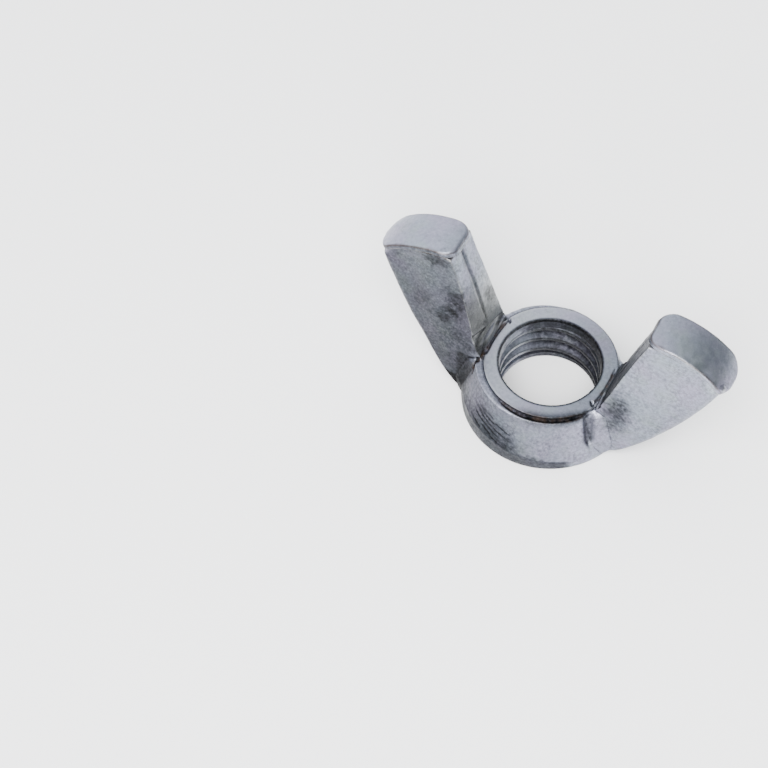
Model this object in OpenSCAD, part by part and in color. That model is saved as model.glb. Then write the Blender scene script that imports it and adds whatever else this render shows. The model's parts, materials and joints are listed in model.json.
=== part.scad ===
// Forged M10 wing nut: a tapered boss with two raised wings and a right-hand internal thread.
// Millimetres. +Z is the thread axis, the origin is the centre of the bearing face,
// and the wings spread along X.

/* [Thread] */
// Nominal thread diameter, across the thread roots
thread_d = 10; // [9.8:0.1:10.2]
// Axial distance from one thread turn to the next
pitch = 1.5; // [1.25:0.05:1.75]
// Diameter across the thread crests
crest_d = 8.5; // [8.4:0.02:8.6]

/* [Boss] */
// Height of the boss, from the bearing face to the top face
boss_h = 5.4; // [5:0.1:6.5]
// Diameter of the boss at the bearing face
base_d = 15.1; // [14.5:0.1:16.5]
// Diameter of the boss where its tapered wall ends
shoulder_d = 12.4; // [12:0.1:13]
// Outer diameter of the flat top face
face_d = 11.6; // [11:0.1:11.8]
// Height of the bevel between the tapered wall and the top face
shoulder_h = 0.45; // [0.3:0.05:0.8]
// Bevel around the lower edge of the boss
base_bevel = 0.3; // [0.1:0.05:0.6]
// Diameter of the countersink where it opens in the top face
mouth_d = 9; // [8.8:0.1:9.6]

/* [Wings] */
// Distance from the thread axis to the middle of a wing tip
tip_x = 12.2; // [11:0.1:13.5]
// Height above the bearing face of the middle of a wing tip, under its arch
tip_z = 14.4; // [12.6:0.1:16.4]
// Wing thickness just below the tip
tip_t = 3.7; // [3.4:0.1:4.4]
// Wing thickness where it grows out of the boss
root_t = 5.6; // [4.8:0.1:6.2]
// Width of the wing just below the tip, measured along its slope
tip_w = 7.4; // [6.4:0.1:8]
// How far the upset tip overhangs each narrow edge of the wing
tip_lip = 0.4; // [0:0.05:0.6]
// Height of the tip's arch over its width
tip_arch = 1.2; // [0.4:0.1:1.6]
// Downward slope of the tip, away from the thread axis
tip_slope = 26; // [18:1:30]
// Turn of the tip about the vertical
tip_twist = 2; // [0:1:6]
// Rounding of the wing's long edges
edge_r = 0.6; // [0.4:0.1:1]
// Rounding where the sides turn over into the tip face
tip_round = 0.6; // [0.4:0.1:0.9]

/* [Hidden] */
$fn = 96;
zinc = [0.72, 0.74, 0.78];

// Bore: a countersink at each end, then a plain land before the thread, deeper at the top
crest_r = crest_d / 2;
root_r = thread_d / 2;
mouth_h = 0.35;
low_land_h = 0.25;
high_land_h = 0.7;
clear = 1;
thread_low = mouth_h + low_land_h;
thread_high = boss_h - mouth_h - high_land_h;

// Thread ridge: 60 degree flanks, a crest a quarter of the pitch wide, one chord per segment
flank_angle = 30;
segments_per_turn = 40;
chord_sag = root_r * (1 - cos(180 / segments_per_turn));
ridge_crest_r = crest_r + chord_sag;
half_crest = pitch / 8;
half_root = half_crest + (root_r - ridge_crest_r) * tan(flank_angle);
ridge_tail = 0.05;
ridge_low = thread_low - half_root + ridge_tail;
ridge_high = thread_high + half_root - ridge_tail;
ridge_steps = floor((ridge_high - ridge_low) / pitch * segments_per_turn);

// Wing edges in the XZ plane, each a cubic curve from inside the boss up to the tip
tip_dir = [cos(tip_slope), -sin(tip_slope)];
tip_out = [sin(tip_slope), cos(tip_slope)];
crown_h = 0.15;
inner_tip = [tip_x, tip_z] - tip_dir * tip_w / 2;
outer_tip = [tip_x, tip_z] + tip_dir * tip_w / 2;
inner_edge = [[4.9, 4.2], [6, 8], [7.3, 11.4], inner_tip];
outer_edge = [[6.4, 0], [10.2, 1.1], [13.3, 7.2], outer_tip];
wing_sections = 26;
lip_start = 0.88;
tip_corner_r = 1.4;
corner_steps = 4;
side_steps = 6;
outer_thinning = 0.06;

function bezier(p, t) =
    p[0] * (1 - t) ^ 3 + 3 * p[1] * t * (1 - t) ^ 2 + 3 * p[2] * t ^ 2 * (1 - t) + p[3] * t ^ 3;

function smooth(t) = let (c = min(max(t, 0), 1)) c * c * (3 - 2 * c);

// Quarter of a corner arc around (x, y), from the start angle over 90 degrees
function corner(x, y, r, start) =
    [for (i = [0 : corner_steps]) let (w = start + 90 * i / corner_steps) [x + r * cos(w), y + r * sin(w)]];

// Points between two corners along a long side at height y, running from x1 to x2
function side(x1, x2, y) =
    [for (i = [1 : side_steps - 1]) [x1 + (x2 - x1) * i / side_steps, y]];

// Rounded rectangle of half sizes a and b, anticlockwise
function rounded_box(a, b, r) = concat(
    corner(a - r, r - b, r, -90),
    corner(a - r, b - r, r, 0),
    side(a - r, r - a, b),
    corner(r - a, b - r, r, 90),
    corner(r - a, r - b, r, 180),
    side(r - a, a - r, -b)
);

// One closed ring of the wing at height fraction s, inset by d and lifted by h off the tip section
function wing_ring(s, d = 0, h = 0) =
    let (
        low = bezier(inner_edge, s),
        high = bezier(outer_edge, s),
        mid = (low + high) / 2 + h * tip_out,
        along = (high - low) / norm(high - low),
        upset = smooth((s - lip_start) / (1 - lip_start)),
        a = norm(high - low) / 2 + tip_lip * upset - d,
        b = (tip_t + (root_t - tip_t) * (1 - s) ^ 2) / 2 - d,
        r = min(edge_r + (tip_corner_r - edge_r) * upset, b - 0.02),
        twist = tip_twist * s
    )
    [for (q = rounded_box(a, b, r))
        let (
            v = q[1] * (1 - outer_thinning * q[0] / a),
            arch = tip_arch * s ^ 3 * (1 - (q[0] / a) ^ 2),
            x = q[0] * along[0] + arch * tip_out[0],
            z = q[0] * along[1] + arch * tip_out[1]
        )
        [mid[0] + x * cos(twist) - v * sin(twist), x * sin(twist) + v * cos(twist), mid[1] + z]];

// Faces that close the ring of n points from number start, by zipping its two mirrored halves.
// The mirror line crosses the ring just after its point number fold.
function zip_cap(start, n, fold) = [
    for (i = [fold + 1 : fold + n / 2 - 1])
        let (across = (2 * fold + 1 - i + n) % n, next_across = (2 * fold - i + n) % n)
        each [[start + i, start + i + 1, start + next_across],
              [start + i, start + next_across, start + across]]
];

function flipped(faces) = [for (face = faces) [face[0], face[2], face[1]]];

// Closed skin through equally long rings whose two halves mirror each other
module loft(rings, fold) {
    n = len(rings[0]);
    last = len(rings) - 1;
    skin = [
        for (k = [0 : last - 1], i = [0 : n - 1])
            let (j = (i + 1) % n)
            each [[k * n + i, k * n + j, (k + 1) * n + j], [k * n + i, (k + 1) * n + j, (k + 1) * n + i]]
    ];
    polyhedron(
        [for (ring = rings) each ring],
        concat(skin, flipped(zip_cap(0, n, fold)), zip_cap(last * n, n, fold))
    );
}

// Outside of the boss with no bore, which the wings are trimmed against
module boss_blank() {
    rotate_extrude()
        polygon([
            [0, 0],
            [base_d / 2 - base_bevel, 0],
            [base_d / 2, base_bevel],
            [shoulder_d / 2, boss_h - shoulder_h],
            [face_d / 2, boss_h],
            [0, boss_h]
        ]);
}

module boss() {
    color(zinc)
        difference() {
            boss_blank();
            rotate_extrude()
                polygon([
                    [0, -clear],
                    [crest_r + mouth_h + clear, -clear],
                    [crest_r, mouth_h],
                    [crest_r, thread_low],
                    [root_r, thread_low],
                    [root_r, thread_high],
                    [crest_r, thread_high],
                    [crest_r, boss_h - mouth_h],
                    [mouth_d / 2, boss_h],
                    [mouth_d / 2, boss_h + clear],
                    [0, boss_h + clear]
                ]);
        }
}

// Cross-section of the thread ridge where its middle is at height z, clipped between the lands
function ridge_ring(angle, z) =
    let (
        cut = max(0, thread_low - z - half_crest, z - half_crest - thread_high),
        r = ridge_crest_r + cut / tan(flank_angle)
    )
    [for (edge = [[r, half_crest], [r, -half_crest], [root_r, -half_root], [root_r, half_root]])
        [edge[0] * cos(angle), edge[0] * sin(angle), min(max(z + edge[1], thread_low), thread_high)]];

module internal_thread() {
    color(zinc)
        loft([for (i = [0 : ridge_steps])
            ridge_ring(360 * i / segments_per_turn, ridge_low + pitch * i / segments_per_turn)], 0);
}

module wing() {
    shaft = [for (k = [0 : wing_sections]) wing_ring(k / wing_sections)];
    rounding = [for (w = [30 : 30 : 90]) wing_ring(1, tip_round * (1 - cos(w)), tip_round * sin(w))];
    crown = [for (k = [0.3, 0.6, 0.9])
        wing_ring(1, tip_round + k * (tip_t / 2 - tip_round), tip_round + crown_h * (1 - (1 - k) ^ 2))];
    difference() {
        loft(concat(shaft, rounding, crown), corner_steps);
        boss_blank();
    }
}

module right_wing() {
    color(zinc) wing();
}

module left_wing() {
    color(zinc) rotate([0, 0, 180]) wing();
}

boss();
internal_thread();
left_wing();
right_wing();
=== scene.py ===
"""Forged, zinc-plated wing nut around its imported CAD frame.

The forging is one signed distance field in millimetres. It is meshed once, its dents and laps are
pressed into the mesh, and the mesh is then parted at the roots into the boss and the two wings.
The thread ridge is a second, finer field.
"""
import json
import math

import bpy
import numpy as np
import openvdb
from mathutils import Matrix, Vector


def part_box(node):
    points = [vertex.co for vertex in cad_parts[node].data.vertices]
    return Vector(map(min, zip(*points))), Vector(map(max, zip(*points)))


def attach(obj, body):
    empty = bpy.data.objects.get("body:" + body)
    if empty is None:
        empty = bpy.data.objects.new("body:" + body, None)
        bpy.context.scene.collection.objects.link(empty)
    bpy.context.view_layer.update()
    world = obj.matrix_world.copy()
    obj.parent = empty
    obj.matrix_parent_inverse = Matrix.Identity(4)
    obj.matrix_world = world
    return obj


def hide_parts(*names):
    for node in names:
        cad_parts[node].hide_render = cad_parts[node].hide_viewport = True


MM = 0.001

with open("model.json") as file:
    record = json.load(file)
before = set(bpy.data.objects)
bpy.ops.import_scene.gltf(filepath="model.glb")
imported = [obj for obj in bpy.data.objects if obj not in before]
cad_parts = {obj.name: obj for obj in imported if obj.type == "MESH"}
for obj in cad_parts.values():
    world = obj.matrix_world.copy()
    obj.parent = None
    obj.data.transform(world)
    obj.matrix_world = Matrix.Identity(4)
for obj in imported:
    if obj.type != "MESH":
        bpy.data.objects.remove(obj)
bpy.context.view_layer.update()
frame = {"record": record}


# ---------------------------------------------------------------- sizes in mm, from the frame

def box_mm(node):
    low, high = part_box(node)
    return np.array(low) / MM, np.array(high) / MM


def mount_dims(name):
    mounts = {mount["name"]: mount for mount in frame["record"]["mounts"]}
    return mounts[name]["dims"]


BOSS_R = box_mm("boss")[1][0]
BOSS_H = box_mm("boss")[1][2]
THREAD_LOW, THREAD_HIGH = box_mm("internal_thread")
ROOT_R = THREAD_HIGH[0]
CREST_R = mount_dims("thread")["r_mm"]
WING_HIGH = box_mm("right_wing")[1]
PITCH = 1.5
# Where the bore's rounded mouth opens in the collar's face
MOUTH_R = 4.42
# The collar is the flat ring round the mouth of the bore, a little off its axis along X
COLLAR_R = 5.77
COLLAR_SHIFT = 0.08

# The tapered body of the boss was forged a little off the bore's axis, and its foot was then
# trimmed round on that axis
BODY_SHIFT = (-0.24, -0.13)
BODY_TOP_R = 6.12
BODY_BASE_R = 7.74
FOOT_R = BOSS_R - 0.09
LEDGE_Z = BOSS_H - 0.22
BODY_TAPER = (BODY_BASE_R - BODY_TOP_R) / LEDGE_Z

# The upset tip of a wing, seen from the side: the middle of its foot, its slope and its arch
SLOPE = math.radians(26)
TIP_ALONG = np.array([math.cos(SLOPE), -math.sin(SLOPE)])
TIP_OUT = np.array([math.sin(SLOPE), math.cos(SLOPE)])
TIP_MID = np.array([WING_HIGH[0] - 3.83, WING_HIGH[2] - 2.25])
TIP_HALF_L = 4.0
TIP_HALF_T = 1.97
SHAFT_HALF_L = 3.7
TIP_ARCH = 1.25
TWIST = math.radians(2)
# Height of a tip's upper rim above the foot line at its ends, the depth of its side, and how much
# its middle is crowned across its thickness
TIP_RIM_UP = 0.62
TIP_DEPTH = 0.5
TIP_CROWN = 0.2
# The tip's arch slants its upper and lower faces, which stretches their distances by this much
ARCH_STRETCH = 0.93

# Where a wing ends and the boss begins: this far outside the tapered body, or above this height.
# The hub is the point inside the root that closes both sides of the parting.
ROOT_MARGIN = 0.25
ROOT_TOP_Z = BOSS_H + 0.12
ROOT_HUB = np.array([5.6, 0.0, 3.2])

# A crest of the thread passes the far wall, at 118 degrees, at this height
FAR_CREST_Z = 4.15
THREAD_PHASE = FAR_CREST_Z / PITCH - 118 / 360

# Mesh sizes of the forging and of the thread
CELL = 0.08
THREAD_CELL = 0.055


# ---------------------------------------------------------------- distance field tools

def round_max(a, b, r):
    """Intersection of two solids with the edge between them rounded to radius r."""
    return np.minimum(np.maximum(a, b), -r) + np.hypot(np.maximum(a + r, 0), np.maximum(b + r, 0))


def round_min(a, b, r):
    """Union of two solids with a fillet of radius r between them."""
    return np.maximum(np.minimum(a, b), r) - np.hypot(np.maximum(r - a, 0), np.maximum(r - b, 0))


def flat_min(a, b, size):
    """Union of two solids with a flat facet across the corner between them."""
    return np.minimum(np.minimum(a, b), (a + b - size) * math.sqrt(0.5))


def ramp(value, start, end):
    """Smooth step from 0 at start to 1 at end."""
    t = np.clip((value - start) / (end - start), 0, 1)
    return t * t * (3 - 2 * t)


def bezier(points, count):
    """Evenly spaced steps along a cubic curve."""
    p = [np.array(q, float) for q in points]
    t = np.linspace(0, 1, count)[:, None]
    return (p[0] * (1 - t) ** 3 + 3 * p[1] * t * (1 - t) ** 2
            + 3 * p[2] * t ** 2 * (1 - t) + p[3] * t ** 3)


def outline_distance(outline, x, z):
    """Signed distance of points (x, z) to a closed outline, negative inside."""
    nearest = np.full(np.broadcast(x, z).shape, 1e9, np.float32)
    inside = np.zeros(nearest.shape, bool)
    for (ax, az), (bx, bz) in zip(outline, np.roll(outline, -1, axis=0)):
        ex, ez = bx - ax, bz - az
        t = np.clip(((x - ax) * ex + (z - az) * ez) / (ex * ex + ez * ez), 0, 1)
        nearest = np.minimum(nearest, (x - ax - t * ex) ** 2 + (z - az - t * ez) ** 2)
        if az != bz:
            inside ^= ((az > z) != (bz > z)) & (x < ex * (z - az) / ez + ax)
    return np.where(inside, -1, 1) * np.sqrt(nearest)


def mesh_field(field, low, high, cell):
    """Points and quads of the surface where the field is zero, over the box low to high."""
    x, y, z = [np.arange(a, b, cell, dtype=np.float32) for a, b in zip(low, high)]
    values = field(x[:, None, None], y[None, :, None], z[None, None, :])
    grid = openvdb.FloatGrid(1.0)
    grid.copyFromArray(np.ascontiguousarray(np.clip(values, -1, 1), np.float32))
    points, quads = grid.convertToQuads()
    return points.astype(float) * cell + np.array(low), quads


def settle(field, points, step=0.01):
    """Points moved onto the field's exact zero surface."""
    at = field(*points.T)
    slope = np.array([field(*(points + d).T) - at for d in np.eye(3) * step]).T / step
    move = slope * (at / np.maximum((slope ** 2).sum(1), 0.3))[:, None]
    return points - np.clip(move, -0.05, 0.05)


def normals_of(points, quads):
    """Vertex normals of a quad mesh."""
    a, b, c, d = (points[quads[:, i]] for i in range(4))
    across = np.cross(c - a, d - b)
    total = np.zeros_like(points)
    for i in range(4):
        np.add.at(total, quads[:, i], across)
    return total / np.maximum(np.linalg.norm(total, axis=1, keepdims=True), 1e-12)


def hollowness(points, quads, normals, spread):
    """Above 0 in a hollow and below 0 on an edge, averaged over a few rounds of neighbours."""
    ends = np.concatenate([quads[:, [i, (i + 1) % 4]] for i in range(4)])
    count = np.bincount(ends[:, 0], minlength=len(points))[:, None]

    def average(values):
        total = np.zeros_like(values)
        np.add.at(total, ends[:, 0], values[ends[:, 1]])
        return total / count

    mean = points
    for _ in range(spread):
        mean = average(mean)
    return ((mean - points) * normals).sum(1)


# ---------------------------------------------------------------- masks over mesh points

def noise(points, cell, seed):
    """Smooth random values from -1 to 1, changing over a distance of about cell."""
    table = np.random.default_rng(seed).uniform(-1, 1, (32, 32, 32))
    p = points / cell
    low = np.floor(p).astype(int)
    f = p - low
    f = f * f * (3 - 2 * f)
    total = np.zeros(len(points))
    for corner in np.ndindex(2, 2, 2):
        at = (low + corner) % 32
        weight = np.prod(np.where(corner, f, 1 - f), axis=1)
        total += weight * table[at[:, 0], at[:, 1], at[:, 2]]
    return total


def stroke(points, path, width):
    """1 along a path of points, falling smoothly to 0 at width from it and fading at its ends."""
    path = np.array(path, float)
    lengths = np.linalg.norm(np.diff(path, axis=0), axis=1)
    starts = np.cumsum(lengths) - lengths
    best = np.full(len(points), 1e9)
    place = np.zeros(len(points))
    for a, b, start, length in zip(path[:-1], path[1:], starts, lengths):
        t = np.clip((points - a) @ (b - a) / length ** 2, 0, 1)
        away = ((points - a - t[:, None] * (b - a)) ** 2).sum(1)
        place = np.where(away < best, start + t * length, place)
        best = np.minimum(best, away)
    inset = np.minimum(place, lengths.sum() - place) / lengths.sum()
    narrowed = width * (0.4 + 0.6 * ramp(inset, 0, 0.2))
    return (1 - ramp(np.sqrt(best), 0, narrowed)) * ramp(inset, -0.05, 0.12)


def blot(points, middle, radii, ragged, seed):
    """A ragged-edged patch, 1 in its middle."""
    away = np.linalg.norm((points - middle) / radii, axis=1)
    edge = noise(points, 0.7, seed) + 0.6 * noise(points, 0.25, seed + 100)
    return 1 - ramp(away + ragged * edge, 0.3, 1.15)


def turned(path):
    """The same path on the other side of the nut, half a turn round its axis."""
    return [(-x, -y, z) for x, y, z in path]


# ---------------------------------------------------------------- the forging's shape

def tip_place(x, z):
    """Distance along the right wing's tip from its middle, and height above its foot line."""
    from_x, from_z = x - TIP_MID[0], z - TIP_MID[1]
    return (from_x * TIP_ALONG[0] + from_z * TIP_ALONG[1],
            from_x * TIP_OUT[0] + from_z * TIP_OUT[1])


def boss_field(x, y, z):
    """The tapered body with its trimmed foot, and the collar on top."""
    r = np.hypot(x, y)
    body_r = np.hypot(x - BODY_SHIFT[0], y - BODY_SHIFT[1])
    cone = (body_r - BODY_BASE_R + BODY_TAPER * z) / math.hypot(1, BODY_TAPER)
    body = round_max(cone, z - LEDGE_Z, 0.14)
    trimmed = np.maximum(body, r - FOOT_R)
    collar_r = np.hypot(x - COLLAR_SHIFT, y)
    collar = round_max(collar_r - COLLAR_R, z - BOSS_H, 0.08)
    return round_min(trimmed, collar, 0.05)


def bore_field(x, y, z):
    """Negative inside the bore: a smooth mouth and foot, and the thread's root between them."""
    r = np.hypot(x, y)
    throat_r = CREST_R + 0.06
    foot_bevel = 0.12
    mouth = throat_r + (MOUTH_R - throat_r) * ramp(z, THREAD_HIGH[2], BOSS_H)
    foot = CREST_R + np.maximum(0, foot_bevel - z)
    recess = np.where(z > THREAD_HIGH[2], mouth, np.where(z > THREAD_LOW[2], ROOT_R, foot))
    return r - recess


def shaft_outline():
    """Side view of the right wing: up its inner edge, under the tip and down its outer edge."""
    u = np.linspace(-1, 1, 17)[:, None]
    under_tip = TIP_MID + u * SHAFT_HALF_L * TIP_ALONG + (0.25 + TIP_ARCH * (1 - u * u)) * TIP_OUT
    inner = bezier([(6.35, 8.2), (6.95, 10.2), (7.65, 12.6), under_tip[0]], 12)
    outer = bezier([under_tip[-1], (13.4, 7.5), (10.2, 1.3), (6.4, 0.2)], 22)
    foot = [(3.0, 0.5), (3.0, 2.0), (4.9, 4.4), (5.34, 5.45), (5.8, 6.5)]
    return np.concatenate([foot, inner, under_tip[1:-1], outer])


def tip_rim(along):
    """Height of a tip's upper rim above the tip's foot line."""
    return TIP_RIM_UP + TIP_ARCH * (1 - np.minimum(np.abs(along) / TIP_HALF_L, 1.1) ** 2.2)


def tip_field(along, across, up, unfilled):
    """The mushroomed pad at the end of a wing, arched along its length, narrower where unfilled."""
    corner = 1.25 + 0.45 * ramp(along, -1, 2)
    side = across - (TIP_HALF_T - 0.35 * unfilled - corner)
    end = np.abs(along) - (TIP_HALF_L - 0.2 * unfilled - corner)
    plan = (np.hypot(np.maximum(side, 0), np.maximum(end, 0))
            + np.minimum(np.maximum(side, end), 0) - corner)
    rim_z = tip_rim(along)
    crown = TIP_CROWN * (1 - np.minimum((across / TIP_HALF_T) ** 2, 1))
    pad = round_max(plan, (up - rim_z - crown) * ARCH_STRETCH, 0.2)
    return round_max(pad, (rim_z - TIP_DEPTH - up) * ARCH_STRETCH, 0.12)


def wing_field(x, y, z):
    """Both wings: the right one, and the same half a turn round the axis."""
    hand = np.where(x > 0, 1, -1)
    x, y = x * hand, y * hand
    along, up = tip_place(x, z)
    across = np.abs(y - TWIST * ramp(z, 4, 15) * (x - TIP_MID[0]))
    # Thickest at the root and towards the inner edge, thinner and rounder towards the outer edge
    outer = ramp(x - 7.2 - 0.25 * z, 0, 3)
    half = 1.82 + 0.084 * np.clip(14 - z, 0, 14) - 0.3 * outer
    side = outline_distance(shaft_outline(), x, z)
    shaft = round_max(side + 0.05 * across, across - half, 0.13 + 0.7 * outer)
    # The die didn't quite fill at the outer front corner of the left tip
    unfilled = ramp(along, 0, 4) * (hand < 0) * ramp(y, -0.3, 0.3)
    return round_min(shaft, tip_field(along, across, up, unfilled), 0.07)


def forging_field(x, y, z):
    """Boss and wings with a facet along each root, bored and flat underneath."""
    facet = 0.3 + np.where(x > 0, 0.6, 0.3) * ramp(z, 0, 2)
    below_ledge = 1 - ramp(z, LEDGE_Z - 0.4, LEDGE_Z + 0.1)
    solid = flat_min(boss_field(x, y, z), wing_field(x, y, z), facet * below_ledge)
    bored = np.maximum(solid, -bore_field(x, y, z))
    return round_max(bored, -z, 0.1)


def thread_field(x, y, z):
    """A right-hand ridge with 60 degree flanks, its outer side sunk in the wall of the bore."""
    r = np.hypot(x, y)
    turn = z / PITCH - np.arctan2(y, x) / (2 * math.pi) - THREAD_PHASE
    from_crest = np.abs(turn - np.round(turn)) * PITCH
    lean = math.radians(30)
    flank = (from_crest - PITCH / 8) * math.cos(lean) - (r - CREST_R) * math.sin(lean)
    ridge = round_max(flank, CREST_R - r, 0.06)
    run = np.maximum(THREAD_LOW[2] - z, z - THREAD_HIGH[2])
    sunk_r = ROOT_R + 0.12
    return np.maximum(np.maximum(ridge, run), r - sunk_r)


# ---------------------------------------------------------------- dents and laps

# The die's parting line down the inner edge of a wing
INNER_LINE = [(9.2, 0, 16.8), (7.75, 0, 12.9), (7.0, 0, 10.6), (6.1, 0, 7.4)]
# The groove down the front of the right root, and the crease beside it where the wing begins
FLUTE = [(5.15, -3.0, 6.4), (5.35, -3.45, 4.6), (5.8, -4.0, 1.7)]
ROOT_CREASE = [(5.75, -2.0, 5.2), (6.2, -2.55, 3.2), (6.75, -3.1, 0.6)]
# The lap where a wing's inner edge meets the collar, and the nick at its end
FOOT_LAP = [(5.0, -2.5, 5.4), (5.25, -1.5, 5.45), (5.36, -0.3, 5.45),
            (5.36, 0.9, 5.45), (5.2, 1.9, 5.4)]
TORN_EDGE = [(4.8, -1.95, 5.4), (5.0, -2.25, 5.4), (5.2, -2.45, 5.4)]
# The open lap at the front of the left root, and the dull facet below it
FRONT_LAP = [(-5.3, -1.2, 5.5), (-5.6, -2.3, 5.35), (-5.68, -3.0, 4.85), (-5.68, -3.55, 4.2)]
LEFT_FACET = [(-5.8, -3.1, 4.6), (-6.3, -3.6, 2.6), (-6.8, -3.9, 0.8)]
# A rag of flash under the outer end of the right tip
FLASH = [(15.2, -1.5, 13.4), (15.75, -1.2, 14.1)]


def collar_gap(points, width):
    """The narrow gap under the front of the collar, fading out to both sides."""
    turns = np.radians(np.linspace(-135, -25, 30))
    r = COLLAR_R + 0.08
    path = [(COLLAR_SHIFT + r * math.cos(a), r * math.sin(a), LEDGE_Z + 0.03) for a in turns]
    turn = np.degrees(np.arctan2(points[:, 1], points[:, 0]))
    return stroke(points, path, width) * ramp(turn, -118, -95) * ramp(-turn, 26, 44)


def both(points, path, width):
    """A stroke that both sides of the nut have."""
    return stroke(points, path, width) + stroke(points, turned(path), width)


def below_kink(points, normals):
    """How far a point on a wing's inner edge lies below the slanting line where it was sheared."""
    hand = np.where(points[:, 0] > 0, 1, -1)
    inward = ramp(-normals[:, 0] * hand, 0.1, 0.5) * ramp(points[:, 2], 5.5, 5.8)
    return np.where(inward > 0.3, 7.0 + 0.36 * points[:, 1] * hand - points[:, 2], -1)


def folds(points, normals):
    """Uneven strips, along the root, in the sheared foot of a wing's inner edge."""
    return ramp(below_kink(points, normals), 0, 0.25) * noise(points * [1.6, 0.35, 2.8], 1.0, 35)


def relief(points, normals):
    """How far each point is pushed in by lines, laps and creases, in mm."""
    gap = collar_gap(points, 0.3) * (0.75 + 0.25 * noise(points, 0.5, 5))
    down = below_kink(points, normals)
    sheared = ramp(down, 0, 0.12) * (1 - ramp(down, 0.5, 1.6))
    return (0.09 * both(points, INNER_LINE, 0.36) + 0.26 * stroke(points, FLUTE, 0.65)
            + 0.12 * both(points, ROOT_CREASE, 0.2) + 0.16 * both(points, FOOT_LAP, 0.18)
            + 0.16 * both(points, TORN_EDGE, 0.22) + 0.22 * stroke(points, FRONT_LAP, 0.26)
            + 0.28 * gap + 0.16 * sheared + 0.14 * folds(points, normals)
            - 0.14 * stroke(points, FLASH, 0.5) + 0.03 * wall_marks(points))


def skin(points):
    """Uneven skin of a forging, in mm, left off the pressed faces of the collar and foot."""
    swell = 0.035 * noise(points, 2.4, 11) + 0.018 * noise(points, 0.9, 12)
    grain = 0.008 * noise(points, 0.3, 13)
    r = np.hypot(points[:, 0], points[:, 1])
    return (swell + grain) * ramp(r, COLLAR_R - 0.4, COLLAR_R + 0.4) * ramp(points[:, 2], 0.02, 0.5)


def forging_mesh():
    """Points, quads and normals of the forging with its dents, laps and uneven skin."""
    margin = 0.5
    low = (-WING_HIGH[0] - margin, -BOSS_R - margin, -margin)
    high = (WING_HIGH[0] + margin, BOSS_R + margin, WING_HIGH[2] + 1)
    points, quads = mesh_field(forging_field, low, high, CELL)
    points = settle(forging_field, points)
    normals = normals_of(points, quads)
    points = points - normals * (relief(points, normals) + skin(points))[:, None]
    points[:, 2] = np.maximum(points[:, 2], 0)
    return points, quads, normals_of(points, quads)


# ---------------------------------------------------------------- tones of the plating, with painted shade and highlights

# The darkness that is stored as 1 on the mesh
DARK_SPAN = 1.6

# Dark blotches on the wings and on the back of the boss: middle, radii and weight
STAINS = [
    ((-10.2, -2.1, 15.6), (1.4, 2, 1.2), 0.9),
    ((-8.3, -2.1, 11.0), (1.3, 2, 1.8), 0.8),
    ((-9.0, -2.1, 8.8), (1.4, 2, 1.4), 0.8),
    ((-11.5, -2.1, 9.9), (1.2, 2, 1.3), 0.4),
    ((-7.6, -2.3, 7.0), (1.2, 2, 1.1), 0.3),
    ((-6.4, -2.5, 6.0), (0.7, 1, 0.6), 0.6),
    ((-6.8, 1.6, 8.8), (0.9, 0.9, 1.7), 0.5),
    ((9.0, 2.2, 8.6), (1.5, 1.5, 2.3), 0.6),
    ((-8.2, 2.3, 7.2), (1.3, 1.5, 2.2), 0.7),
    ((1.8, 6.6, 2.4), (2.4, 1.5, 1.3), 0.6),
]
# The stain at the foot of the right wing's front has a cleaner edge
ROOT_STAIN = ((7.3, -2.6, 6.2), (1.6, 1.5, 2.9))


def stains(points):
    """How dark the blotches are."""
    total = 1.15 * blot(points, *ROOT_STAIN, 0.25, 31)
    for index, (middle, radii, weight) in enumerate(STAINS):
        total = total + weight * blot(points, middle, radii, 0.45, 40 + index)
    return total * (0.8 + 0.5 * noise(points, 0.2, 32))


def wall_marks(points):
    """Dark drag marks on the left of the boss, running round it and down towards the front."""
    turn = np.degrees(np.arctan2(points[:, 1], points[:, 0]))
    z = points[:, 2]
    in_turn = ramp(turn, -130, -120) * (1 - ramp(turn, -100, -86))
    in_height = ramp(z, 1.2, 1.8) * (1 - ramp(z, 3.4, 4.2))
    line = noise(np.stack([turn * 0.09, z * 5 + turn * 0.14, z * 0], axis=1), 1.0, 33)
    return in_turn * in_height * (0.25 + 0.75 * ramp(line, 0.0, 0.25))


def bore_painted_shade(points):
    """Painted shade in the bore: most on its +X side, least on its far -X wall, and nothing outside it.
    """
    x = points[:, 0]
    r = np.hypot(x, points[:, 1])
    smear = 0.15 * noise(points * [1, 1, 0.3], 0.6, 38)
    depth = 0.87 + 0.1 * x - 0.45 * ramp(-x, 2.8, 4.2) + smear
    return (1 - ramp(r, MOUTH_R - 0.02, MOUTH_R + 0.1)) * depth


def rim_lines(points):
    """The shadowed line under a tip's rim, and the rubbed line along its upper edge."""
    along, up = tip_place(np.abs(points[:, 0]), points[:, 2])
    over = up - tip_rim(along)
    on_side = ramp(np.abs(points[:, 1]), 1.4, 1.8)
    on_end = ramp(np.abs(along), TIP_HALF_L - 0.7, TIP_HALF_L - 0.3)
    edge = np.minimum(on_side + on_end, 1)
    return (edge * (1 - ramp(np.abs(over + 0.58), 0, 0.17)),
            edge * (1 - ramp(np.abs(over + 0.03), 0, 0.1)))


def shaded_foot_band(points):
    """Painted shade on the front of the upright band where the foot was trimmed round."""
    x, y, z = points.T
    r = np.hypot(x, y)
    turn = np.degrees(np.arctan2(y, x)) + 2 * noise(points, 0.6, 39)
    reach = BODY_BASE_R + (BODY_SHIFT[0] * x + BODY_SHIFT[1] * y) / r
    top = (reach - FOOT_R) / BODY_TAPER + 0.25
    in_height = ramp(top - z, 0, 0.12) * (z > 0.03)
    return in_height * ramp(r, FOOT_R - 0.5, FOOT_R - 0.3) * ramp(-turn, 46, 54)


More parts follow.
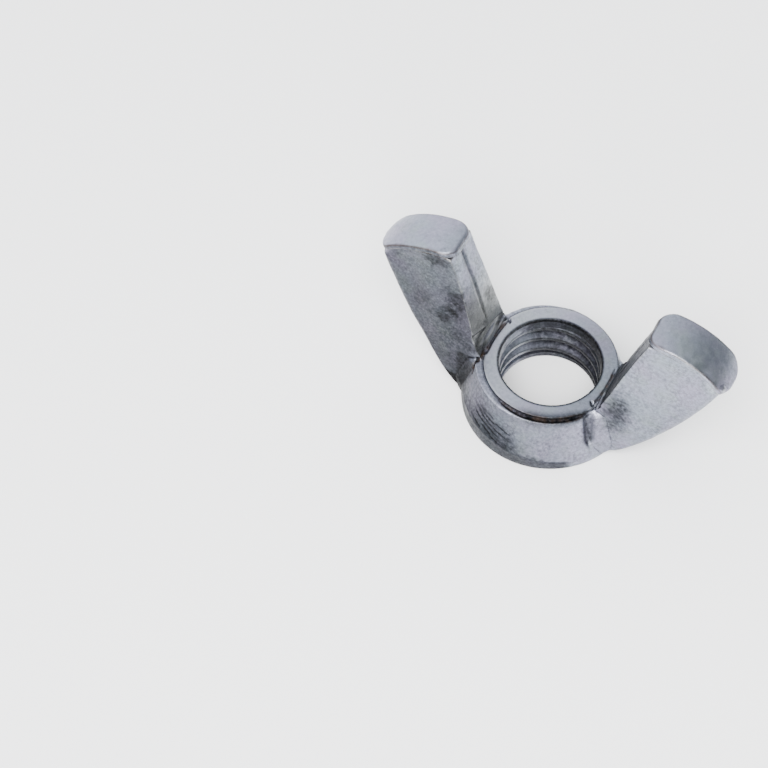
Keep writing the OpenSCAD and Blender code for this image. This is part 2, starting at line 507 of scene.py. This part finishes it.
def collar_face(points):
    """1 on the pressed flat face round the mouth of the bore."""
    r = np.hypot(points[:, 0], points[:, 1])
    return ramp(points[:, 2], BOSS_H - 0.08, BOSS_H - 0.03) * (r < COLLAR_R + 0.1)


def tip_face(points, normals):
    """1 on the upper faces of the tips."""
    facing_out = np.abs(normals[:, 0]) * TIP_OUT[0] + normals[:, 2] * TIP_OUT[1]
    return ramp(facing_out, 0.75, 0.95) * (points[:, 2] > WING_HIGH[2] - 5)


def mouth_edge(points):
    """1 along the edge where the bore opens in the collar's face."""
    r = np.hypot(points[:, 0], points[:, 1])
    return (1 - ramp(np.abs(r - MOUTH_R - 0.03), 0.06, 0.2)) * (points[:, 2] > BOSS_H - 0.3)


def boss_marks_and_shade(points):
    """Painted shade on the boss: ragged over its left, thin over its front, thick on its foot; painted
    shadow under and beside the collar, painted shade towards +X on its face, and the drag marks.
    """
    x, y, z = points.T
    r = np.hypot(x, y)
    turn = np.degrees(np.arctan2(y, x))
    ragged = turn + 9 * noise(points, 1.2, 36) + 7 * noise(points, 0.3, 37)
    on_wall = ramp(r, 6.1, 6.4) * ramp(r, 8.2, 7.8) * (z < LEDGE_Z - 0.1) * (y < 0)
    left = ramp(-68 - 7.5 * z - ragged, -12, 14)
    left_wall_shade = left * (0.42 + 0.42 * ramp(-z, -3.5, -1))
    front_wall_shade = 0.24 * (1 - left) * ramp(-turn, 35, 70)
    wall = on_wall * (left_wall_shade + front_wall_shade)
    under_collar = collar_gap(points, 0.9) * ramp(turn, -100, -75)
    collar_side = ramp(r, COLLAR_R - 0.1, COLLAR_R) * (r < COLLAR_R + 0.15)
    collar_side = collar_side * ramp(z, LEDGE_Z - 0.1, LEDGE_Z)
    return (np.maximum(wall, 0.72 * shaded_foot_band(points)) + 0.7 * wall_marks(points)
            + 0.7 * under_collar + 0.3 * collar_side
            + collar_face(points) * np.maximum(0.03 + 0.03 * x, 0))


def wing_painted_shade(points, normals):
    """Painted shade on the wings: on their fronts, inside the right one and on its tip."""
    x, z = points[:, 0], points[:, 2]
    front = ramp(-normals[:, 1], 0.4, 0.9)
    left_front = (1 - ramp(x, -6.8, -5)) * front * (0.92 - 0.03 * z)
    right_front = ramp(x, 5, 6.8) * front * (0.03 + 0.07 * ramp(-z, -12, -6))
    right_inside = ramp(x, 5.2, 6) * ramp(-normals[:, 0], 0.3, 0.8) * (1.2 - z / 22)
    right_tip = tip_face(points, normals) * (x > 0)
    return left_front + right_front + 1.25 * right_inside + 0.08 * right_tip


def line_tone(points, normals):
    """Painted shadow and scale in the lines, laps and creases, and in the gap under the collar; painted
    shade along the mouth of the bore.
    """
    down = below_kink(points, normals)
    laps = both(points, FOOT_LAP, 0.2) * (0.5 + 0.7 * noise(points, 0.5, 52))
    laps = laps + stroke(points, FRONT_LAP, 0.3) + both(points, TORN_EDGE, 0.2)
    return (0.35 * both(points, INNER_LINE, 0.5) + 0.8 * laps + 1.1 * collar_gap(points, 0.4)
            + 0.25 * ramp(down, 0, 0.2) + 0.6 * folds(points, normals)
            + 0.6 * stroke(points, FLUTE, 0.8) + 0.4 * both(points, ROOT_CREASE, 0.2)
            + 0.35 * stroke(points, LEFT_FACET, 1.0) + 0.8 * mouth_edge(points))


def tones(points, quads, normals):
    """How dark, warm, pale and speckled the plating is at each point: dark holds stains and painted
    shade, pale holds rubbed wear and painted highlights.
    """
    x, y, z = points.T
    hollow = hollowness(points, quads, normals, 3)
    rim_gap, rim_edge = rim_lines(points)
    # Dark adds the stains to painted shade in the bore, on the boss and wings, in the lines, in hollows
    # and under each tip's rim
    dark = (0.6 * stains(points) + bore_painted_shade(points) + boss_marks_and_shade(points)
            + wing_painted_shade(points, normals) + line_tone(points, normals)
            + 0.6 * ramp(hollow, 0.004, 0.03) + 0.8 * rim_gap + 0.3 * rim_edge)
    scale = both(points, FOOT_LAP, 0.4) + stroke(points, FRONT_LAP, 0.4)
    scale = (scale + 0.6 * collar_gap(points, 0.4)) * (0.5 + noise(points, 0.3, 34))
    warm = 0.5 * scale + 0.5 * rim_gap + 0.3 * rim_edge
    # Edges are rubbed pale and carry a painted highlight, but little round the collar and not at the
    # mouth; the lower half of the left wing's inner edge gets a painted highlight, and, thinly, so does
    # the left of the collar's face
    collar = (np.hypot(x, y) < 6.6) * (z > LEDGE_Z - 0.4)
    rubbed_and_highlit = ramp(-hollow, 0.008, 0.035) * (1 - 0.7 * collar) * (1 - mouth_edge(points))
    lit_left_inside = (1 - ramp(x, -6, -5)) * ramp(normals[:, 0], 0.4, 0.8) * ramp(-z, -13, -8.5)
    pale = rubbed_and_highlit + lit_left_inside + 0.25 * collar_face(points) * ramp(-x, -2, 4)
    speckled = 1 - 0.6 * np.maximum(collar_face(points), tip_face(points, normals))
    return np.stack([dark / DARK_SPAN, warm, pale, speckled], axis=1)


# ---------------------------------------------------------------- materials

class Nodes:
    """Short calls for wiring up one material."""

    def __init__(self, name):
        self.material = bpy.data.materials.new(name)
        self.material.use_nodes = True
        self.tree = self.material.node_tree
        self.shader = self.tree.nodes["Principled BSDF"]
        self.place = self.add("ShaderNodeTexCoord").outputs["Object"]

    def add(self, kind, **settings):
        node = self.tree.nodes.new(kind)
        for key, value in settings.items():
            setattr(node, key, value)
        return node

    def feed(self, socket, value):
        if isinstance(value, bpy.types.NodeSocket):
            self.tree.links.new(value, socket)
        else:
            socket.default_value = value

    def noise(self, size_mm, detail=3.0, rough=0.55):
        """Noise from 0 to 1 whose largest features are about size_mm."""
        node = self.add("ShaderNodeTexNoise")
        self.feed(node.inputs["Vector"], self.place)
        node.inputs["Scale"].default_value = 1 / (size_mm * MM)
        node.inputs["Detail"].default_value = detail
        node.inputs["Roughness"].default_value = rough
        return node.outputs["Fac"]

    def math(self, operation, a, b):
        node = self.add("ShaderNodeMath", operation=operation)
        self.feed(node.inputs[0], a)
        self.feed(node.inputs[1], b)
        return node.outputs[0]

    def spread(self, value, low, high, to_low=0.0, to_high=1.0):
        """Map low..high to to_low..to_high, clamped."""
        node = self.add("ShaderNodeMapRange")
        for socket, amount in zip(node.inputs[:5], (value, low, high, to_low, to_high)):
            self.feed(socket, amount)
        return node.outputs[0]

    def scale(self, colour, amount):
        node = self.add("ShaderNodeVectorMath", operation="SCALE")
        self.feed(node.inputs[0], colour)
        self.feed(node.inputs["Scale"], amount)
        return node.outputs[0]

    def blend(self, amount, a, b):
        node = self.add("ShaderNodeMix", data_type="RGBA")
        self.feed(node.inputs["Factor"], amount)
        self.feed(node.inputs[6], a)
        self.feed(node.inputs[7], b)
        return node.outputs[2]

    def bump(self, height, depth_mm, below=None):
        node = self.add("ShaderNodeBump")
        node.inputs["Distance"].default_value = depth_mm * MM
        self.feed(node.inputs["Height"], height)
        if below is not None:
            self.feed(node.inputs["Normal"], below)
        return node.outputs["Normal"]

    def tone(self):
        """The dark, warm, pale and speckled amounts stored on the mesh."""
        store = self.add("ShaderNodeAttribute", attribute_name="tone")
        split = self.add("ShaderNodeSeparateColor")
        self.feed(split.inputs[0], store.outputs["Color"])
        dark = self.math("MULTIPLY", split.outputs[0], DARK_SPAN)
        return dark, split.outputs[1], split.outputs[2], store.outputs["Alpha"]


# Tints of the clean plating, and how much of a tint is left at darkness 1
COOL_ZINC = (0.25, 0.28, 0.335, 1)
LILAC_ZINC = (0.272, 0.266, 0.345, 1)
GREEN_ZINC = (0.25, 0.29, 0.30, 1)
DARKEST = 0.1
# Scale in the laps, and plating rubbed bright, which also serves as the painted highlight on edges and
# lit faces
SCALE_BROWN = (0.11, 0.07, 0.045, 1)
WORN_AND_HIGHLIT_ZINC = (0.45, 0.465, 0.46, 1)


def zinc_material():
    """Blue-passivated zinc over forged steel: clouded tints, speckle, stains and rubbed edges, with the
    painted shade and highlights stored on the mesh.
    """
    n = Nodes("zinc_plate")
    dark, warm, pale, speckled = n.tone()
    cloud = n.spread(n.noise(3.5, 2), 0.35, 0.65)
    tint = n.blend(cloud, COOL_ZINC, LILAC_ZINC)
    tint = n.blend(n.spread(n.noise(2.0, 3), 0.5, 0.7, 0, 0.6), tint, GREEN_ZINC)
    speckle = n.spread(n.noise(0.3, 5, 0.75), 0.4, 0.66)
    mottle = n.math("MULTIPLY", speckle, n.spread(n.noise(1.6, 2), 0.35, 0.7, 0.4, 0.9))
    # The stored darkness is stains and painted shade together
    stain_and_shade = n.math("MULTIPLY", dark, n.spread(n.noise(0.22, 4, 0.7), 0.3, 0.6, 0.7, 1.15))
    mottle = n.math("MULTIPLY", mottle, speckled)
    shade = n.math("ADD", n.math("MULTIPLY", mottle, 0.4), stain_and_shade)
    # Pale blends in rubbed wear and painted highlights
    tint = n.blend(n.math("MULTIPLY", pale, 0.9), tint, WORN_AND_HIGHLIT_ZINC)
    colour = n.scale(tint, n.math("POWER", DARKEST, shade))
    colour = n.blend(warm, colour, SCALE_BROWN)
    n.feed(n.shader.inputs["Base Color"], colour)
    n.shader.inputs["Metallic"].default_value = 1
    rough = n.spread(n.noise(0.6, 4, 0.6), 0.3, 0.7, 0.3, 0.46)
    n.feed(n.shader.inputs["Roughness"], n.math("ADD", rough, n.math("MULTIPLY", shade, 0.16)))
    coarse = n.bump(n.noise(0.5, 3), 0.012)
    n.feed(n.shader.inputs["Normal"], n.bump(n.noise(0.12, 3, 0.7), 0.006, coarse))
    return n.material


# ---------------------------------------------------------------- pieces

def new_mesh(name, points, faces, normals=None):
    """A smooth mesh from mm points, with its vertex normals if they are given."""
    mesh = bpy.data.meshes.new(name)
    mesh.from_pydata((points * MM).tolist(), [], faces)
    mesh.shade_smooth()
    if normals is not None:
        mesh.normals_split_custom_set_from_vertices(normals.tolist())
    return mesh


def add_tone(mesh, tone):
    """Store each vertex's dark, warm, pale and speckled amounts for the material."""
    layer = mesh.color_attributes.new("tone", "FLOAT_COLOR", "POINT")
    layer.data.foreach_set("color", np.clip(tone, 0, 1).astype(np.float32).ravel())


def add_piece(mesh, node, material):
    """An object that rides on the nut's body and stands for one CAD node."""
    piece = bpy.data.objects.new(node + "_surface", mesh)
    bpy.context.scene.collection.objects.link(piece)
    mesh.materials.append(material)
    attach(piece, "root")
    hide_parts(node)


def part_at_roots(points, quads):
    """Which part each quad belongs to: 0 the boss, 1 the right wing, 2 the left wing."""
    middle = points[quads].mean(axis=1)
    body_r = np.hypot(middle[:, 0] - BODY_SHIFT[0], middle[:, 1] - BODY_SHIFT[1])
    outside = body_r > BODY_BASE_R - BODY_TAPER * middle[:, 2] + ROOT_MARGIN
    on_wing = (outside & (middle[:, 2] > 0.15)) | (middle[:, 2] > ROOT_TOP_Z)
    return np.where(on_wing, np.where(middle[:, 0] > 0, 1, 2), 0)


def rim_edges(quads):
    """Directed edges used by only one of the quads."""
    edges = np.concatenate([quads[:, [i, (i + 1) % 4]] for i in range(4)])
    key = {(a, b) for a, b in edges.tolist()}
    return [(a, b) for a, b in key if (b, a) not in key]


def closed_part(points, quads, normals, tone, hubs):
    """One part of the forging, each open root closed by a fan to the nearest hub inside it."""
    used, local = np.unique(quads, return_inverse=True)
    faces = local.reshape(-1, 4)
    where = points[used]
    caps = []
    for a, b in sorted(rim_edges(faces)):
        hub = int(np.argmin(np.abs(hubs[:, 0] - where[a, 0])))
        caps.append((b, a, len(used) + hub))
    where = np.concatenate([where, hubs])
    outward = np.concatenate([normals[used], np.sign(hubs) * [1, 0, 0]])
    tone = np.concatenate([tone[used], np.zeros((len(hubs), 4))])
    return where, faces.tolist() + caps, outward, tone


def add_forging(material):
    """The boss and the two wings, parted from one mesh."""
    points, quads, normals = forging_mesh()
    tone = tones(points, quads, normals)
    part = part_at_roots(points, quads)
    left_hub = ROOT_HUB * [-1, 1, 1]
    hubs = {"boss": [ROOT_HUB, left_hub], "right_wing": [ROOT_HUB], "left_wing": [left_hub]}
    for index, node in enumerate(hubs):
        inner = np.array(hubs[node])
        where, faces, outward, own_tone = closed_part(points, quads[part == index], normals, tone, inner)
        mesh = new_mesh(node, where, faces, outward)
        add_tone(mesh, own_tone)
        add_piece(mesh, node, material)


def add_thread(material):
    """The thread ridge, with painted shade at its root and on the +X side, and a painted highlight on
    its crest.
    """
    margin = 0.3
    reach = ROOT_R + margin
    low = (-reach, -reach, THREAD_LOW[2] - margin)
    high = (reach, reach, THREAD_HIGH[2] + margin)
    points, quads = mesh_field(thread_field, low, high, THREAD_CELL)
    points = settle(thread_field, points)
    mesh = new_mesh("internal_thread", points, quads.tolist())
    r = np.hypot(points[:, 0], points[:, 1])
    # Painted shade darkens the root and the +X side and eases off on the far -X side; a painted
    # highlight runs along the crest
    dark = 0.92 + 0.4 * ramp(r, CREST_R + 0.1, ROOT_R) + 0.1 * noise(points, 0.4, 51)
    dark = dark + 0.05 * points[:, 0] - ramp(-points[:, 0], 2.6, 4.3)
    pale = 0.25 * (1 - ramp(r, CREST_R + 0.02, CREST_R + 0.12))
    add_tone(mesh, np.stack([dark / DARK_SPAN, 0 * dark, pale, 1 + 0 * dark], axis=1))
    add_piece(mesh, "internal_thread", material)


zinc = zinc_material()
add_forging(zinc)
add_thread(zinc)


# ---------------------------------------------------------------- studio

def add_floor():
    """A wide pale floor, just under the bearing face."""
    half, level = 0.6, -0.02 * MM
    mesh = bpy.data.meshes.new("floor")
    corners = [(-half, -half, level), (half, -half, level), (half, half, level), (-half, half, level)]
    mesh.from_pydata(corners, [], [(0, 1, 2, 3)])
    floor = bpy.data.objects.new("floor", mesh)
    bpy.context.scene.collection.objects.link(floor)
    n = Nodes("pale_floor")
    n.shader.inputs["Base Color"].default_value = (0.9, 0.9, 0.9, 1)
    n.shader.inputs["Roughness"].default_value = 0.8
    mesh.materials.append(n.material)


def add_camera():
    """A long lens in front of the nut, to its right and well above it."""
    azimuth, elevation, distance = math.radians(28.1), math.radians(56.3), 0.2134
    to_left, down = 0.0142, 0.0019
    back = Vector((math.sin(azimuth) * math.cos(elevation),
                   -math.cos(azimuth) * math.cos(elevation), math.sin(elevation)))
    right = Vector((math.cos(azimuth), math.sin(azimuth), 0))
    up = back.cross(right)
    camera = bpy.data.objects.new("camera", bpy.data.cameras.new("camera"))
    camera.data.lens = 117.2
    camera.data.sensor_width = 36
    camera.matrix_world = Matrix((right, up, back)).transposed().to_4x4()
    # The nut sits right of the middle of the frame and a little above it
    face = Vector((0, 0, BOSS_H * MM))
    camera.location = face + back * distance - right * to_left - up * down
    bpy.context.scene.collection.objects.link(camera)
    bpy.context.scene.camera = camera


def add_light(name, place, size, power):
    """A square soft light at place, turned to the nut."""
    lamp = bpy.data.lights.new(name, "AREA")
    lamp.size = size
    lamp.energy = power
    light = bpy.data.objects.new(name, lamp)
    light.location = place
    light.rotation_mode = "QUATERNION"
    light.rotation_quaternion = Vector(place).to_track_quat("Z", "Y")
    bpy.context.scene.collection.objects.link(light)


def add_world(bright_side, dim_side):
    """A soft white surround, dimmer towards +X."""
    starts, ends = -0.4, 0.6
    world = bpy.data.worlds.new("studio")
    world.use_nodes = True
    nodes, links = world.node_tree.nodes, world.node_tree.links
    split = nodes.new("ShaderNodeSeparateXYZ")
    fade = nodes.new("ShaderNodeMapRange")
    links.new(nodes.new("ShaderNodeTexCoord").outputs["Generated"], split.inputs[0])
    links.new(split.outputs["X"], fade.inputs["Value"])
    for socket, amount in zip(fade.inputs[1:5], (starts, ends, bright_side, dim_side)):
        socket.default_value = amount
    sky = nodes["Background"]
    sky.inputs["Color"].default_value = (0.95, 0.97, 1, 1)
    links.new(fade.outputs[0], sky.inputs["Strength"])
    bpy.context.scene.world = world


add_floor()
add_camera()
add_world(2.8, 0.55)
add_light("overhead", (0.08, -0.3, 0.45), 0.35, 8)
add_light("low_front", (0.15, -0.3, 0.08), 0.15, 1.2)
